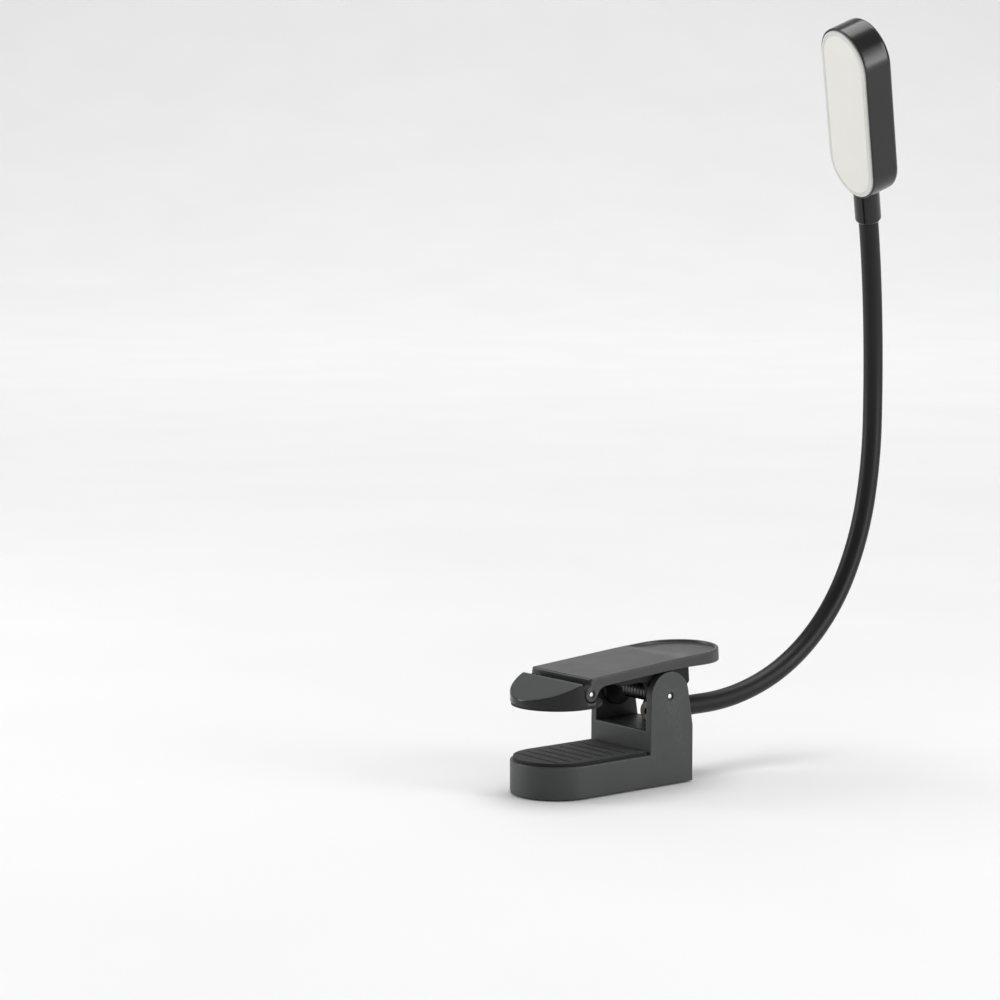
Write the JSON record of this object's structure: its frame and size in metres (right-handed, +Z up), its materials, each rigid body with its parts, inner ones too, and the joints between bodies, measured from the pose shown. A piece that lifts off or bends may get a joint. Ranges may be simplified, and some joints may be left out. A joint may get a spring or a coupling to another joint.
{
  "type": "clip-on reading lamp",
  "caption": "Clip-on reading lamp: sprung jaw with a battery housing, bendable rubber-covered neck and a flat light head with rounded ends.",
  "frame": {"origin": "middle of the lower jaw's rubber face, straight below the front pin when the jaw is open on a board", "axes": "+X from the jaw's tip towards the handle and the neck's root, +Z up out of the lower rubber face, Y across the clip along the hinge pins"},
  "size_m": [0.192, 0.0731, 0.2967],
  "materials": {
    "shell_plastic": "fine moulded texture",
    "lever_plastic": "satin moulded plastic",
    "pad_plastic": "satin to gloss moulded plastic",
    "grip_rubber": "ribbed matte rubber",
    "sleeve_rubber": "smooth matte rubber",
    "gooseneck_steel": "wound steel",
    "pin_steel": "turned, bright ends",
    "spring_steel": "drawn wire",
    "screw_steel": "zinc plated",
    "brass": "nickel plated",
    "ferrule_plastic": "satin",
    "button_plastic": "satin",
    "collar_plastic": "gloss black",
    "head_plastic": "satin black",
    "diffuser": "milky, frosted",
    "light_guide": "milky",
    "led_board": "white solder mask",
    "led_phosphor": "yellow phosphor",
    "battery_film": "heat-shrink film",
    "foam": "foam tape",
    "circuit_board": "green solder mask",
    "socket_metal": "stamped steel",
    "switch_plastic": "moulded",
    "light_pipe": "clear moulded"
  },
  "bodies": {
    "housing": {"lower_shell": "shell_plastic", "bottom_cover": "shell_plastic", "cover_screws": "screw_steel", "lower_pad": "grip_rubber", "battery": "battery_film", "battery_foam": "foam", "charge_board": "circuit_board", "charge_socket": "socket_metal", "tact_switches": "switch_plastic", "light_pipe": "light_pipe", "board_screws": "screw_steel", "main_pin": "pin_steel", "jaw_spring": "spring_steel", "neck_ferrule": "ferrule_plastic", "root_fitting": "brass", "sleeve_0": "sleeve_rubber", "core_0": "gooseneck_steel"},
    "power_button": {"power_button": "button_plastic"},
    "colour_button": {"colour_button": "button_plastic"},
    "lever": {"lever": "lever_plastic", "front_pin": "pin_steel"},
    "upper_pad": {"pad_body": "pad_plastic", "pad_sole": "grip_rubber"},
    "neck_1": {"sleeve_1": "sleeve_rubber", "core_1": "gooseneck_steel"},
    "neck_2": {"sleeve_2": "sleeve_rubber", "core_2": "gooseneck_steel"},
    "neck_3": {"sleeve_3": "sleeve_rubber", "core_3": "gooseneck_steel"},
    "neck_4": {"sleeve_4": "sleeve_rubber", "core_4": "gooseneck_steel"},
    "neck_5": {"sleeve_5": "sleeve_rubber", "core_5": "gooseneck_steel"},
    "neck_6": {"sleeve_6": "sleeve_rubber", "core_6": "gooseneck_steel"},
    "neck_7": {"sleeve_7": "sleeve_rubber", "core_7": "gooseneck_steel"},
    "head": {"sleeve_8": "sleeve_rubber", "core_8": "gooseneck_steel", "head_collar": "collar_plastic", "head_fitting": "brass", "fitting_nut": "brass", "head_shell": "head_plastic", "diffuser": "diffuser", "light_guide": "light_guide", "led_board": "led_board", "leds": "led_phosphor", "led_screws": "screw_steel"}
  },
  "joints": [
    {"name": "jaw_hinge", "type": "hinge", "parent": "housing", "child": "lever", "pos_m": [0.03998, 0, 0.02081], "axis": [0, 1, 0], "range_deg": [-29, 21.4], "stiffness_Nm_per_rad": 0.25, "springref_deg": -89.95, "deforming": ["jaw_spring"]},
    {"name": "pad_pivot", "type": "hinge", "parent": "lever", "child": "upper_pad", "pos_m": [0, 0, 0.0259], "axis": [0, 1, 0], "range_deg": [-21.4, 29]},
    {"name": "power_press", "type": "slide", "parent": "housing", "child": "power_button", "axis": [-1, 0, 0], "range_m": [0, 0.0004], "stiffness_N_per_m": 800},
    {"name": "colour_press", "type": "slide", "parent": "housing", "child": "colour_button", "axis": [-1, 0, 0], "range_m": [0, 0.0004], "stiffness_N_per_m": 800},
    {"name": "neck_bend_1", "type": "hinge", "parent": "housing", "child": "neck_1", "pos_m": [0.07398, 0, 0.01181], "axis": [0, 1, 0], "range_deg": [-20, 25]},
    {"name": "neck_bend_2", "type": "hinge", "parent": "neck_1", "child": "neck_2", "pos_m": [0.10543, 0, 0.01694], "axis": [0, 1, 0], "range_deg": [-20, 25]},
    {"name": "neck_bend_3", "type": "hinge", "parent": "neck_2", "child": "neck_3", "pos_m": [0.13318, 0, 0.03248], "axis": [-0.6428, 0, 0.766], "range_deg": [-20, 25]},
    {"name": "neck_bend_4", "type": "hinge", "parent": "neck_3", "child": "neck_4", "pos_m": [0.1532, 0, 0.0572], "axis": [0, 1, 0], "range_deg": [-20, 25]},
    {"name": "neck_bend_5", "type": "hinge", "parent": "neck_4", "child": "neck_5", "pos_m": [0.16397, 0, 0.08721], "axis": [0, 1, 0], "range_deg": [-20, 25]},
    {"name": "neck_bend_6", "type": "hinge", "parent": "neck_5", "child": "neck_6", "pos_m": [0.16745, 0, 0.11898], "axis": [-0.9998, 0, 0.0175], "range_deg": [-20, 25]},
    {"name": "neck_bend_7", "type": "hinge", "parent": "neck_6", "child": "neck_7", "pos_m": [0.16531, -0.00196, 0.15078], "axis": [-0.0083, 0.9925, 0.1224], "range_deg": [-20, 25]},
    {"name": "neck_bend_8", "type": "hinge", "parent": "neck_7", "child": "head", "pos_m": [0.15785, -0.00776, 0.1813], "axis": [-0.0369, 0.9701, 0.2398], "range_deg": [-20, 25]}
  ],
  "couplings": [
    {"joint": "pad_pivot", "follows": "jaw_hinge", "ratio": -1}
  ]
}
